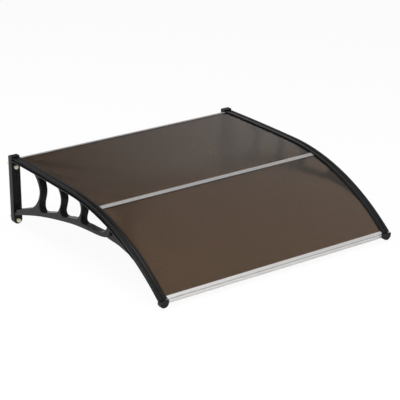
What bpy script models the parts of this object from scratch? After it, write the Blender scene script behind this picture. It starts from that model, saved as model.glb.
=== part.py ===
"""Door canopy: an arched twin-wall sheet in two pieces, held by two moulded side brackets.

The frame of the model: the wall is the plane Y = 0, the canopy reaches out towards -Y, X = 0 is the
middle of its width, and Z = 0 is the lower end of the wall posts. All lengths are in metres.

Side views are drawn as (distance, drop): the distance from the wall, and the vertical drop below the
line that the tops of the pressing strips follow. Layers that follow the arch are measured square to it.
The bracket's outlines are drawn for one reach and one height, and stretch with the bracket's own.
"""

import math

import bmesh
import bpy
from mathutils import Matrix, Vector

OBJECT_NAME = "door_canopy"

# Overall sizes
WIDTH = 1.000
DEPTH = 0.960
POST_HEIGHT = 0.262

# Wall posts of the brackets
POST_WIDTH = 0.0352
POST_DEPTH = 0.024
POST_EDGE = 0.0012
POST_GROOVE_WIDTH = 0.005
POST_GROOVE_DEPTH = 0.0015
POST_GROOVE_MARGIN = 0.012

# Line of the arch: nearly straight at the wall, then one tighter arc down to the nose
ARCH_TOP_DROP = 0.005
REAR_SLOPE = math.radians(0.25)
REAR_RUN = 0.420
REAR_ARC_RADIUS = 12.2
FRONT_SLOPE = math.radians(41.64)
REAR_STEPS = 6
FRONT_STEPS = 22

# Layers under the arch line
STRIP_THICKNESS = 0.0045
SHEET_THICKNESS = 0.004
SEAT_THICKNESS = 0.0027
CLEARANCE = 0.0003

# Making: the least step between corners of the arch, and how much longer a cutter is than its hole
LEAST_STEP = 0.002
CUT_THROUGH = 3

# Brackets: a ribbed frame under a wide seat, a thin web and a nose
FRAME_WIDTH = 0.0292
FRAME_EDGE = 0.0022
SEAT_INSET = 0.0003
SEAT_NARROW_LENGTH = 0.150
SEAT_NARROW_INSET = 0.0032
SEAT_STEP = 0.0002
SEAT_TAPER = 0.060
JOINT_OVERLAP = 0.0015
WEB_WIDTH = 0.005
WEB_OVERLAP = 0.0010
NOSE_DEPTH = 0.016
NOSE_LIP = 0.006
NOSE_LIP_RISE = 0.0036
NOSE_HEIGHT = 0.0245
ROOT_POCKET_LENGTH = 0.016
ROOT_POCKET_DEPTH = 0.008
ROOT_POCKET_TOP = 0.1990
ROOT_POCKET_BOTTOM = 0.2075
BRACE_ROOT_RISE = 0.034
DRAWN_REACH = 0.960
DRAWN_ROOT_DROP = 0.223
BRACE_UNDERSIDE = [
    (0.008, 0.2245), (0.040, 0.215), (0.085, 0.201), (0.125, 0.189), (0.190, 0.170), (0.275, 0.149),
    (0.357, 0.131), (0.437, 0.115), (0.514, 0.100), (0.590, 0.081), (0.627, 0.066), (0.645, 0.0545),
    (0.660, 0.0365), (0.676, 0.014),
]
OPENINGS = {
    "first": [
        (0.019, 0.012), (0.019, 0.194), (0.042, 0.193), (0.084, 0.177), (0.127, 0.161), (0.148, 0.152),
        (0.169, 0.139), (0.188, 0.121), (0.204, 0.098), (0.212, 0.074), (0.209, 0.053), (0.195, 0.029),
        (0.176, 0.012),
    ],
    "second": [
        (0.206, 0.012), (0.215, 0.036), (0.2215, 0.061), (0.2185, 0.084), (0.209, 0.109),
        (0.206, 0.128), (0.211, 0.142), (0.224, 0.144), (0.267, 0.131), (0.325, 0.110), (0.340, 0.094),
        (0.352, 0.074), (0.357, 0.051), (0.352, 0.030), (0.338, 0.012),
    ],
    "third": [
        (0.356, 0.012), (0.362, 0.036), (0.3645, 0.052), (0.355, 0.082), (0.350, 0.098),
        (0.356, 0.110), (0.374, 0.110), (0.407, 0.101), (0.447, 0.090), (0.464, 0.080), (0.478, 0.063),
        (0.486, 0.045), (0.485, 0.027), (0.476, 0.012),
    ],
    "fourth": [
        (0.4965, 0.012), (0.495, 0.044), (0.4855, 0.072), (0.4865, 0.0845), (0.499, 0.087),
        (0.520, 0.0825), (0.560, 0.0745), (0.600, 0.063), (0.621, 0.051), (0.639, 0.034),
        (0.655, 0.013),
    ],
}
CURVE_STEPS = 3
WEB_UNDERSIDE = [
    (0.600, 0.073), (0.621, 0.070), (0.653, 0.063), (0.690, 0.052), (0.727, 0.043), (0.771, 0.033),
    (0.820, 0.024), (0.880, 0.014),
]
WEB_REAR = [(0.663, 0.021), (0.652, 0.036), (0.638, 0.048), (0.615, 0.062)]

# Pressing strips
STRIP_INSET = 0.0012
STRIP_PLATE = 0.0017
STRIP_RECESS = 0.0048
STRIP_GROOVE_WIDTH = 0.0024
STRIP_GROOVE_DEPTH = 0.0012
STRIP_EDGE = 0.0006
STRIP_FRONT_GAP = 0.0012

# Sheets
SHEET_SIDE_INSET = 0.007
SHEET_WALL_GAP = 0.0005
SHEET_END_GAP = 0.0012

# Extruded bars across the sheets
BAR_END_GAP = 0.0005
BAR_WALL = 0.0013
JOINT_BAR_START = 0.554
JOINT_BAR_LENGTH = 0.0185
JOINT_BAR_GROOVE = 0.0006
JOINT_BAR_RIDGES = 3
TRIM_START = 0.021
TRIM_LENGTH = 0.011
BAR_GROOVE_SHARE = 0.10
NOSE_AHEAD = 0.0086
EDGE_BAR_BROW = 0.0085
EDGE_BAR_HEIGHT = 0.0230
EDGE_BAR_FACE = 0.0022
EDGE_BAR_BEAD = 0.0011
EDGE_BAR_BEADS = [(0.12, 0.20, 0.42, 0.50), (0.72, 0.80, 0.90, 0.94)]
EDGE_BAR_RETURN = 0.007

# Clamp screws, driven up from under the seat into the strips
SCREW_SHARES = {"first": 0.50, "second": 0.55, "third": 0.58, "fourth": 0.70}
SCREW_FRONT_INSET = 0.065
SCREW_INSET = 0.0262
SCREW_DIAMETER = 0.0038
SCREW_HEAD_DIAMETER = 0.0076
SCREW_HEAD_HEIGHT = 0.0024
SCREW_BITE = 0.0026
SCREW_HOLE_CLEARANCE = 0.0004
SCREW_SLOT = 0.0011
SCREW_SLOT_SHARE = 0.52
SCREW_CROWN_SHARE = 0.8
SCREW_HEAD_SIDES = 16
SCREW_SHANK_SIDES = 12

# Wall bolts
BOLT_TOP_DROP = 0.0416
BOLT_BOTTOM_RISE = 0.0134
BOLT_DIAMETER = 0.008
BOLT_HOLE_CLEARANCE = 0.0004
BOLT_LENGTH = 0.062
BOLT_HEAD_ACROSS_FLATS = 0.013
BOLT_HEAD_HEIGHT = 0.0053
BOLT_CHAMFER_BASE = 1.5
BOLT_CHAMFER_END = 0.95
WASHER_DIAMETER = 0.0165
WASHER_THICKNESS = 0.0016
ROUND_SIDES = 24

SIDES = {"left": -1, "right": 1}

FINISHES = {
    "moulded_black": ((0.022, 0.022, 0.023), 0.42, 0.0),
    "strip_black": ((0.028, 0.028, 0.029), 0.38, 0.0),
    "bronze_sheet": ((0.090, 0.065, 0.045), 0.22, 0.0),
    "bar_aluminium": ((0.70, 0.69, 0.68), 0.34, 1.0),
    "zinc_steel": ((0.72, 0.70, 0.58), 0.28, 1.0),
}

# Derived levels, measured down from the arch line
SHEET_TOP = STRIP_THICKNESS + CLEARANCE
SHEET_BOTTOM = SHEET_TOP + SHEET_THICKNESS
SEAT_TOP = SHEET_BOTTOM + CLEARANCE
SEAT_BOTTOM = SEAT_TOP + SEAT_THICKNESS
FRONT_START_SLOPE = math.asin(math.sin(REAR_SLOPE) + REAR_RUN / REAR_ARC_RADIUS)
FRONT_ARC_RADIUS = (DEPTH - REAR_RUN) / (math.sin(FRONT_SLOPE) - math.sin(FRONT_START_SLOPE))

# How far the drawn outlines of the brackets stretch in height
DROP_STRETCH = (POST_HEIGHT - ARCH_TOP_DROP - BRACE_ROOT_RISE) / DRAWN_ROOT_DROP

# Places along the depth
SEAT_NARROW_START = DEPTH - SEAT_NARROW_LENGTH
SHEET_START = POST_DEPTH + SHEET_WALL_GAP
EDGE_BAR_FRONT = DEPTH - NOSE_AHEAD
EDGE_BAR_START = EDGE_BAR_FRONT - EDGE_BAR_BROW


def clear_scene():
    """Remove every object, so that the model starts from nothing."""
    for obj in list(bpy.data.objects):
        bpy.data.objects.remove(obj, do_unlink=True)


def new_collection(name, hidden=False):
    """Make a collection in the scene, hidden from renders if it holds cutters."""
    collection = bpy.data.collections.new(name)
    collection.hide_render = hidden
    bpy.context.scene.collection.children.link(collection)
    return collection


def make_finish(name):
    """Make one plain material from the table of finishes."""
    colour, roughness, metallic = FINISHES[name]
    material = bpy.data.materials.new(name)
    material.use_nodes = True
    shader = material.node_tree.nodes["Principled BSDF"]
    shader.inputs["Base Color"].default_value = (*colour, 1.0)
    shader.inputs["Roughness"].default_value = roughness
    shader.inputs["Metallic"].default_value = metallic
    material.diffuse_color = (*colour, 1.0)
    return material


# The arch line


def arch_slope(distance):
    """Slope of the arch line, in radians, at a distance from the wall."""
    if distance <= REAR_RUN:
        return math.asin(math.sin(REAR_SLOPE) + distance / REAR_ARC_RADIUS)
    return math.asin(math.sin(FRONT_START_SLOPE) + (distance - REAR_RUN) / FRONT_ARC_RADIUS)


def arch_height(distance):
    """Height of the arch line at a distance from the wall."""
    slope = arch_slope(distance)
    top = POST_HEIGHT - ARCH_TOP_DROP
    if distance <= REAR_RUN:
        return top - REAR_ARC_RADIUS * (math.cos(REAR_SLOPE) - math.cos(slope))
    rear_drop = REAR_ARC_RADIUS * (math.cos(REAR_SLOPE) - math.cos(FRONT_START_SLOPE))
    return top - rear_drop - FRONT_ARC_RADIUS * (math.cos(FRONT_START_SLOPE) - math.cos(slope))


def arch_point(distance, below=0.0):
    """Side-view point (distance, height) at a depth below the arch line, square to it."""
    slope = arch_slope(distance)
    return (distance - below * math.sin(slope), arch_height(distance) - below * math.cos(slope))


def arch_stations(start, end):
    """Distances from start to end, with the shared corners of the faceted arch between them."""
    rear = [REAR_RUN * step / REAR_STEPS for step in range(1, REAR_STEPS + 1)]
    turn = FRONT_SLOPE - FRONT_START_SLOPE
    slopes = [FRONT_START_SLOPE + turn * step / FRONT_STEPS for step in range(1, FRONT_STEPS + 1)]
    front = [
        REAR_RUN + FRONT_ARC_RADIUS * (math.sin(slope) - math.sin(FRONT_START_SLOPE)) for slope in slopes
    ]
    inner = [place for place in rear + front if start + LEAST_STEP < place < end - LEAST_STEP]
    return [start, *inner, end]


def arch_line(start, end, below):
    """Side-view points along the arch at one depth below it."""
    return [arch_point(distance, below) for distance in arch_stations(start, end)]


def arch_layer(start, end, top, bottom):
    """Side-view outline of a layer that follows the arch between two depths."""
    return arch_line(start, end, top) + arch_line(start, end, bottom)[::-1]


def arch_frame(distance, x, below):
    """World matrix of a place under the arch: its local Z axis points out of the arch."""
    slope = arch_slope(distance)
    along, height = arch_point(distance, below)
    return Matrix.Translation((x, -along, height)) @ Matrix.Rotation(slope, 4, "X")


def reach(drawn):
    """Distance from the wall of a place in the bracket's drawing; what lies in the post stays there."""
    if drawn <= POST_DEPTH:
        return drawn
    return POST_DEPTH + (drawn - POST_DEPTH) * (DEPTH - POST_DEPTH) / (DRAWN_REACH - POST_DEPTH)


def dropped(points):
    """Turn the (distance, drop) points of a drawing into (distance, height) points."""
    places = [(reach(distance), drop * DROP_STRETCH) for distance, drop in points]
    return [(distance, arch_height(distance) - drop) for distance, drop in places]


def smooth_line(points, closed, steps=CURVE_STEPS):
    """Points of a smooth curve through the given ones, with evenly eased tangents."""
    count = len(points)
    spans = count if closed else count - 1
    curve = []
    for span in range(spans):
        around = []
        for offset in (-1, 0, 1, 2):
            index = span + offset
            index = index % count if closed else min(max(index, 0), count - 1)
            around.append(Vector(points[index]))
        before, start, end, after = around
        for step in range(steps):
            t = step / steps
            blend = (
                2 * start
                + (end - before) * t
                + (2 * before - 5 * start + 4 * end - after) * t ** 2
                + (3 * start - before - 3 * end + after) * t ** 3
            )
            curve.append(tuple(blend / 2))
    if not closed:
        curve.append(tuple(points[-1]))
    return curve


# Solids from outlines


def mesh_object(name, mesh, collection):
    """Put a mesh into the scene as an object of one collection."""
    obj = bpy.data.objects.new(name, mesh)
    collection.objects.link(obj)
    return obj


def flat_solid(name, outlines, thickness, matrix, collection, edge=0.0):
    """Thicken a flat outline, with its holes, evenly to both sides of its plane."""
    curve = bpy.data.curves.new(name, "CURVE")
    curve.dimensions = "2D"
    curve.fill_mode = "BOTH"
    curve.extrude = thickness / 2 - edge
    curve.bevel_depth = edge
    curve.bevel_resolution = 1
    curve.offset = -edge
    for points in outlines:
        spline = curve.splines.new("POLY")
        spline.points.add(len(points) - 1)
        for corner, (u, v) in zip(spline.points, points):
            corner.co = (u, v, 0.0, 1.0)
        spline.use_cyclic_u = True
    drawn = bpy.data.objects.new(f"{name}_outline", curve)
    bpy.context.scene.collection.objects.link(drawn)
    graph = bpy.context.evaluated_depsgraph_get()
    mesh = bpy.data.meshes.new_from_object(drawn.evaluated_get(graph))
    bpy.data.objects.remove(drawn, do_unlink=True)
    bpy.data.curves.remove(curve)
    weld_and_place(mesh, matrix)
    return mesh_object(name, mesh, collection)


def weld_and_place(mesh, matrix):
    """Weld loose caps, move the mesh to its place and turn its faces outwards."""
    shape = bmesh.new()
    shape.from_mesh(mesh)
    bmesh.ops.remove_doubles(shape, verts=shape.verts, dist=0.000002)
    bmesh.ops.transform(shape, matrix=matrix, verts=shape.verts)
    bmesh.ops.recalc_face_normals(shape, faces=shape.faces)
    shape.to_mesh(mesh)
    shape.free()


def side_view(x):
    """Matrix that lays a (distance, height) drawing in the plane at X = x."""
    return Matrix(((0, 0, -1, x), (-1, 0, 0, 0), (0, 1, 0, 0), (0, 0, 0, 1)))


def front_view(distance):
    """Matrix that lays an (X, height) drawing in a plane parallel to the wall."""
    return Matrix(((1, 0, 0, 0), (0, 0, -1, -distance), (0, 1, 0, 0), (0, 0, 0, 1)))


def side_solid(name, outlines, width, x, collection, edge=0.0):
    """Thicken a side-view drawing along X."""
    return flat_solid(name, outlines, width, side_view(x), collection, edge)


def cylinder(name, diameter, length, matrix, collection, sides=ROUND_SIDES, end_diameter=None):
    """A closed cylinder or cone along local Z, centred on the matrix."""
    shape = bmesh.new()
    end = diameter if end_diameter is None else end_diameter
    bmesh.ops.create_cone(
        shape, cap_ends=True, segments=sides, radius1=diameter / 2, radius2=end / 2, depth=length
    )
    bmesh.ops.transform(shape, matrix=matrix, verts=shape.verts)
    mesh = bpy.data.meshes.new(name)
    shape.to_mesh(mesh)
    shape.free()
    return mesh_object(name, mesh, collection)


def block(name, low, high, collection):
    """A closed box between two corners."""
    shape = bmesh.new()
    bmesh.ops.create_cube(shape, size=1.0)
    size = Vector(high) - Vector(low)
    middle = (Vector(high) + Vector(low)) / 2
    bmesh.ops.scale(shape, vec=size, verts=shape.verts)
    bmesh.ops.translate(shape, vec=middle, verts=shape.verts)
    mesh = bpy.data.meshes.new(name)
    shape.to_mesh(mesh)
    shape.free()
    return mesh_object(name, mesh, collection)


def combine(target, tools, operation):
    """Join or cut a solid with each of the tools, in order."""
    for tool in tools:
        tool.display_type = "WIRE"
        tool.hide_render = True
        change = target.modifiers.new(tool.name, "BOOLEAN")
        change.operation = operation
        change.solver = "EXACT"
        change.object = tool


def finish(obj, material, smooth_angle=35.0):
    """Give an object its material and shade its round faces smooth."""
    obj.data.materials.clear()
    obj.data.materials.append(material)
    obj.data.shade_smooth()
    obj.data.set_sharp_from_angle(angle=math.radians(smooth_angle))


# Brackets


def bolt_heights():
    """Heights of the two wall bolts of a post."""
    return {"upper": POST_HEIGHT - BOLT_TOP_DROP, "lower": BOLT_BOTTOM_RISE}


def frame_outline():
    """Side-view outline of the ribbed frame: back along the brace, then down and up each opening.

    The tops of the ribs end inside the seat, whose underside closes the openings.
    """
    joint = SEAT_TOP + JOINT_OVERLAP
    front = arch_point(reach(BRACE_UNDERSIDE[-1][0]), joint)
    root = arch_point(reach(BRACE_UNDERSIDE[0][0]), joint)
    underside = smooth_line(dropped(BRACE_UNDERSIDE[:-1]) + [front], closed=False)
    outline = underside[::-1] + [root]
    for points in OPENINGS.values():
        start = arch_point(reach(points[0][0]), joint)
        end = arch_point(reach(points[-1][0]), joint)
        outline += smooth_line([start, *dropped(points[1:-1]), end], closed=False)
    return outline


def web_outline():
    """Side-view outline of the thin web: it starts inside the front curl and runs out under the seat."""
    underside = smooth_line(dropped(WEB_UNDERSIDE), closed=False)
    rear = reach(WEB_REAR[0][0])
    top = arch_line(rear, reach(WEB_UNDERSIDE[-1][0]), SEAT_TOP + WEB_OVERLAP)
    return top + underside[::-1] + dropped(WEB_REAR)[::-1]


def nose_outline():
    """Front-view outline of a nose: flat top, straight sides and a half-round bottom."""
    top = arch_height(DEPTH) + NOSE_LIP_RISE
    return rounded_tongue(top, top - NOSE_HEIGHT, POST_WIDTH / 2)


def rounded_tongue(top, bottom, radius):
    """(X, height) outline, centred on X = 0, with a half-round lower end."""
    turns = ROUND_SIDES // 2
    centre = bottom + radius
    outline = [(radius, top)]
    for step in range(turns + 1):
        angle = -math.pi * step / turns
        outline.append((radius * math.cos(angle), centre + radius * math.sin(angle)))
    outline.append((-radius, top))
    return outline


def make_post(side, x, parts):
    """Wall post with its round lower end; it is the solid that the rest of a bracket joins."""
    outline = rounded_tongue(POST_HEIGHT, 0.0, POST_WIDTH / 2)
    place = Matrix.Translation((x, 0, 0)) @ front_view(POST_DEPTH / 2)
    return flat_solid(f"{side}_bracket", [outline], POST_DEPTH, place, parts, POST_EDGE)


def make_seats(side, x, cutters):
    """Flange under the sheet: wide over the brace, tapering away to a narrow run to the nose."""
    start = POST_DEPTH / 2
    taper_start = SEAT_NARROW_START - SEAT_TAPER
    wide = arch_line(start, SEAT_NARROW_START, SEAT_TOP)
    wide += arch_line(start, taper_start, SEAT_BOTTOM)[::-1]
    narrow_start = taper_start - 2 * SEAT_THICKNESS
    narrow = arch_layer(
        narrow_start, DEPTH - NOSE_DEPTH / 2, SEAT_TOP + SEAT_STEP, SEAT_BOTTOM - SEAT_STEP
    )
    wide_width = POST_WIDTH - 2 * SEAT_INSET
    narrow_width = POST_WIDTH - 2 * SEAT_NARROW_INSET
    return [
        side_solid(f"{side}_wide_seat", [wide], wide_width, x, cutters),
        side_solid(f"{side}_narrow_seat", [narrow], narrow_width, x, cutters),
    ]


def make_nose(side, x, cutters):
    """Nose block whose top is cut away where the sheet and the strip end behind its lip."""
    place = Matrix.Translation((x, 0, 0)) @ front_view(DEPTH - NOSE_DEPTH / 2)
    nose = flat_solid(f"{side}_nose", [nose_outline()], NOSE_DEPTH, place, cutters, POST_EDGE)
    behind = DEPTH - 2 * NOSE_DEPTH
    pocket = arch_layer(behind, DEPTH - NOSE_LIP, -NOSE_DEPTH, SEAT_TOP + JOINT_OVERLAP)
    cutter = side_solid(f"{side}_nose_pocket", [pocket], 2 * POST_WIDTH, x, cutters)
    combine(nose, [cutter], "DIFFERENCE")
    return nose


def root_pockets(side, x, cutters):
    """Cutters for the blind pockets in both flanks of the brace, at the post."""
    drawn = [(POST_DEPTH, ROOT_POCKET_TOP), (POST_DEPTH, ROOT_POCKET_BOTTOM)]
    (_, top), (_, bottom) = dropped(drawn)
    pockets = []
    for hand in (-1, 1):
        flank = x + hand * FRAME_WIDTH / 2
        low = (flank - ROOT_POCKET_DEPTH, -POST_DEPTH - ROOT_POCKET_LENGTH, bottom)
        high = (flank + ROOT_POCKET_DEPTH, -POST_DEPTH, top)
        name = f"{side}_root_pocket_{'outer' if hand * SIDES[side] > 0 else 'inner'}"
        pockets.append(block(name, low, high, cutters))
    return pockets


def bracket_cutters(side, x, cutters):
    """Cutters for the bolt holes, the groove of the post and the screw holes of the seat."""
    tools = []
    through = Matrix.Rotation(math.pi / 2, 4, "X")
    for level, height in bolt_heights().items():
        place = Matrix.Translation((x, -POST_DEPTH / 2, height)) @ through
        size = BOLT_DIAMETER + 2 * BOLT_HOLE_CLEARANCE
        tools.append(cylinder(f"{side}_{level}_bolt_hole", size, CUT_THROUGH * POST_DEPTH, place, cutters))
    half = POST_GROOVE_WIDTH / 2
    root_top = dropped([OPENINGS["first"][1]])[0][1]
    washer_bottom = bolt_heights()["upper"] - WASHER_DIAMETER / 2
    low = (x - half, -2 * POST_DEPTH + POST_GROOVE_DEPTH, root_top + POST_GROOVE_MARGIN)
    high = (x + half, -POST_DEPTH + POST_GROOVE_DEPTH, washer_bottom - POST_GROOVE_MARGIN)
    tools.append(block(f"{side}_post_groove", low, high, cutters))
    return tools + screw_holes(side, "seat", cutters, SEAT_TOP, SEAT_BOTTOM)


def screw_places():
    """Distances of the clamp screws from the wall: one over each opening, and one near the nose."""
    places = []
    for name, share in SCREW_SHARES.items():
        start, end = reach(OPENINGS[name][0][0]), reach(OPENINGS[name][-1][0])
        places.append(start + share * (end - start))
    return [*places, DEPTH - SCREW_FRONT_INSET]


def screw_x(side):
    """X of the row of clamp screws on one side."""
    return SIDES[side] * (WIDTH / 2 - SCREW_INSET)


def screw_holes(side, layer, cutters, top, bottom, places=None):
    """Cutters for the clamp screws through one layer, longer than the layer is thick."""
    tools = []
    size = SCREW_DIAMETER + 2 * SCREW_HOLE_CLEARANCE
    for number, distance in enumerate(screw_places(), 1):
        if places and not places[0] < distance < places[1]:
            continue
        length = CUT_THROUGH * (bottom - top)
        place = arch_frame(distance, screw_x(side), (top + bottom) / 2)
        tools.append(cylinder(f"{side}_{layer}_screw_hole_{number}", size, length, place, cutters))
    return tools


def make_bracket(side, parts, cutters):
    """One moulded side bracket: post, ribbed frame, seat, web and nose in one piece."""
    x = SIDES[side] * (WIDTH - POST_WIDTH) / 2
    bracket = make_post(side, x, parts)
    frame = side_solid(f"{side}_frame", [frame_outline()], FRAME_WIDTH, x, cutters, FRAME_EDGE)
    combine(frame, root_pockets(side, x, cutters), "DIFFERENCE")
    web = side_solid(f"{side}_web", [web_outline()], WEB_WIDTH, x, cutters)
    pieces = [frame, *make_seats(side, x, cutters), web, make_nose(side, x, cutters)]
    combine(bracket, pieces, "UNION")
    combine(bracket, bracket_cutters(side, x, cutters), "DIFFERENCE")
    return bracket


# Pressing strips


def strip_section():
    """Cross-section of a pressing strip: (across, depth below the arch line)."""
    half = POST_WIDTH / 2 - STRIP_INSET
    foot = half - STRIP_RECESS
    groove = STRIP_GROOVE_WIDTH / 2
    right = [
        (groove, STRIP_GROOVE_DEPTH),
        (groove, 0.0),
        (half - STRIP_EDGE, 0.0),
        (half, STRIP_EDGE),
        (half, STRIP_PLATE),
        (foot, STRIP_PLATE),
        (foot, STRIP_THICKNESS),
    ]
    left = [(-across, depth) for across, depth in right[::-1]]
    return right + left


def make_strip(side, parts, cutters):
    """Strip that presses the sheets onto a bracket, swept along the arch."""
    name = f"{side}_pressing_strip"
    x = SIDES[side] * (WIDTH - POST_WIDTH) / 2
    section = bpy.data.curves.new(f"{name}_section", "CURVE")
    section.dimensions = "2D"
    outline = section.splines.new("POLY")
    points = strip_section()
    outline.points.add(len(points) - 1)
    for corner, (across, depth) in zip(outline.points, points):
        corner.co = (depth, across, 0.0, 1.0)
    outline.use_cyclic_u = True
    guide = bpy.data.objects.new(f"{name}_guide", section)
    bpy.context.scene.collection.objects.link(guide)
    path = bpy.data.curves.new(f"{name}_path", "CURVE")
    path.dimensions = "2D"
    path.fill_mode = "NONE"
    path.bevel_mode = "OBJECT"
    path.bevel_object = guide
    path.use_fill_caps = True
    start = POST_DEPTH + CLEARANCE
    end = DEPTH - NOSE_LIP - STRIP_FRONT_GAP
    line = path.splines.new("POLY")
    stations = arch_line(start, end, 0.0)
    line.points.add(len(stations) - 1)
    for corner, (distance, height) in zip(line.points, stations):
        corner.co = (distance, height, 0.0, 1.0)
    drawn = bpy.data.objects.new(f"{name}_line", path)
    bpy.context.scene.collection.objects.link(drawn)
    graph = bpy.context.evaluated_depsgraph_get()
    mesh = bpy.data.meshes.new_from_object(drawn.evaluated_get(graph))
    for helper in (drawn, guide):
        bpy.data.objects.remove(helper, do_unlink=True)
    weld_and_place(mesh, side_view(x))
    strip = mesh_object(name, mesh, parts)
    bore_depth = SCREW_BITE + CLEARANCE
    bores = screw_holes(
        side, "strip", cutters, STRIP_THICKNESS - bore_depth / 2, STRIP_THICKNESS
    )
    combine(strip, bores, "DIFFERENCE")
    return strip


# Sheets and bars


def sheet_width():
    """Width of a sheet, whose edges lie on both brackets."""
    return WIDTH - 2 * SHEET_SIDE_INSET


def bar_width():
    """Length of the bars, which fit between the two brackets."""
    return WIDTH - 2 * POST_WIDTH - 2 * BAR_END_GAP


def sheet_end():
    """Arch distance of the sheet's front edge, just behind the fascia of the edge bar."""
    behind = EDGE_BAR_FRONT - EDGE_BAR_FACE - SHEET_END_GAP
    return behind + SHEET_TOP * math.sin(arch_slope(behind))


def joint_middle():
    """Distance of the middle of the joining bar from the wall."""
    return JOINT_BAR_START + JOINT_BAR_LENGTH / 2 * math.cos(arch_slope(JOINT_BAR_START))


def make_sheet(name, start, end, parts, cutters):
    """One arched twin-wall sheet as its outer body, with its screw holes."""
    layer = arch_layer(start, end, SHEET_TOP, SHEET_BOTTOM)
    sheet = side_solid(name, [layer], sheet_width(), 0.0, parts)
    holes = []
    for side in SIDES:
        holes += screw_holes(side, name, cutters, SHEET_TOP, SHEET_BOTTOM, (start, end))
    combine(sheet, holes, "DIFFERENCE")
    return sheet


def bar_flange_top(start, end, ridges, depth):
    """Top line of a bar: proud of the sheet, with shallow grooves between its ridges."""
    level = SHEET_TOP - CLEARANCE - BAR_WALL
    line = [arch_point(start, level)]
    span = end - start
    half = span * BAR_GROOVE_SHARE / 2
    for ridge in range(1, ridges):
        middle = start + span * ridge / ridges
        line.append(arch_point(middle - half, level))
        line.append(arch_point(middle - half / 2, level + depth))
        line.append(arch_point(middle + half / 2, level + depth))
        line.append(arch_point(middle + half, level))
    line.append(arch_point(end, level))
    return line


def make_joining_bar(parts):
    """H-shaped bar that joins the two sheets across the middle."""
    start = JOINT_BAR_START
    middle = joint_middle()
    end = 2 * middle - start
    over = SHEET_TOP - CLEARANCE
    under = SHEET_BOTTOM + CLEARANCE
    half = BAR_WALL / 2
    outline = bar_flange_top(start, end, JOINT_BAR_RIDGES, JOINT_BAR_GROOVE)
    outline += [
        arch_point(end, over),
        arch_point(middle + half, over),
        arch_point(middle + half, under),
        arch_point(end, under),
        arch_point(end, under + BAR_WALL),
        arch_point(start, under + BAR_WALL),
        arch_point(start, under),
        arch_point(middle - half, under),
        arch_point(middle - half, over),
        arch_point(start, over),
    ]
    return side_solid("joining_bar", [outline], bar_width(), 0.0, parts)


def make_rear_trim(parts):
    """Channel that closes the rear edge of the sheet, beside the wall."""
    start = TRIM_START
    end = TRIM_START + TRIM_LENGTH
    over = SHEET_TOP - CLEARANCE
    under = SHEET_BOTTOM + CLEARANCE
    inner = start + BAR_WALL
    outline = [
        arch_point(start, over - BAR_WALL),
        arch_point(end, over - BAR_WALL),
        arch_point(end, over),
        arch_point(inner, over),
        arch_point(inner, under),
        arch_point(end, under),
        arch_point(end, under + BAR_WALL),
        arch_point(start, under + BAR_WALL),
    ]
    return side_solid("rear_edge_trim", [outline], bar_width(), 0.0, parts)


def make_front_bar(parts):
    """Bar along the front edge: it wraps the sheet and drops as a ribbed fascia."""
    start = EDGE_BAR_START
    over = SHEET_TOP - CLEARANCE
    under = SHEET_BOTTOM + CLEARANCE
    front = EDGE_BAR_FRONT
    top = arch_point(start, over - BAR_WALL)
    slope = math.tan(arch_slope(start))
    brow = (front, top[1] - (front - top[0]) * slope)
    foot = brow[1] - EDGE_BAR_HEIGHT + (top[1] - brow[1])
    back = front - EDGE_BAR_FACE
    face = [brow]
    for shares in EDGE_BAR_BEADS:
        insets = (0.0, EDGE_BAR_BEAD, EDGE_BAR_BEAD, 0.0)
        for share, inset in zip(shares, insets):
            face.append((front - inset, brow[1] + (foot - brow[1]) * share))
    seat_over = arch_point(start, over)
    seat_under = arch_point(start, under)
    lip_under = arch_point(start, under + BAR_WALL)

    def slanted(point, distance):
        """Point of the straight line through a point, along the slope of the front edge."""
        return (distance, point[1] - (distance - point[0]) * slope)

    outline = [
        top,
        *face,
        (front, foot),
        (back - EDGE_BAR_RETURN, foot),
        (back - EDGE_BAR_RETURN, foot + BAR_WALL),
        (back, foot + BAR_WALL),
        slanted(lip_under, back),
        lip_under,
        seat_under,
        slanted(seat_under, back),
        slanted(seat_over, back),
        seat_over,
    ]
    return side_solid("front_edge_bar", [outline], bar_width(), 0.0, parts)


# Fasteners


def make_screw(side, number, distance, parts, cutters):
    """Clamp screw: a pan head with a cross recess under the seat, and a shank up into the strip."""
    name = f"{side}_clamp_screw_{number}"
    x = screw_x(side)
    head_top = SEAT_BOTTOM + CLEARANCE
    tip = STRIP_THICKNESS - SCREW_BITE
    middle = head_top + SCREW_HEAD_HEIGHT / 2
    head_place = arch_frame(distance, x, middle)
    head = cylinder(
        name,
        SCREW_HEAD_DIAMETER * SCREW_CROWN_SHARE,
        SCREW_HEAD_HEIGHT,
        head_place,
        parts,
        sides=SCREW_HEAD_SIDES,
        end_diameter=SCREW_HEAD_DIAMETER,
    )
    bottom = head_top + SCREW_HEAD_HEIGHT / 2
    shank_place = arch_frame(distance, x, (tip + bottom) / 2)
    shank = cylinder(
        f"{name}_shank", SCREW_DIAMETER, bottom - tip, shank_place, cutters, sides=SCREW_SHANK_SIDES
    )
    combine(head, [shank], "UNION")
    half_slot = SCREW_HEAD_DIAMETER * SCREW_SLOT_SHARE / 2
    slots = []
    for turn in range(2):
        size = (half_slot, SCREW_SLOT / 2) if turn else (SCREW_SLOT / 2, half_slot)
        slot = block(
            f"{name}_slot_{turn}",
            (-size[0], -size[1], -SCREW_SLOT),
            (size[0], size[1], SCREW_SLOT),
            cutters,
        )
        slot.data.transform(arch_frame(distance, x, head_top + SCREW_HEAD_HEIGHT))
        slots.append(slot)
    combine(head, slots, "DIFFERENCE")
    return head


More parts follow.
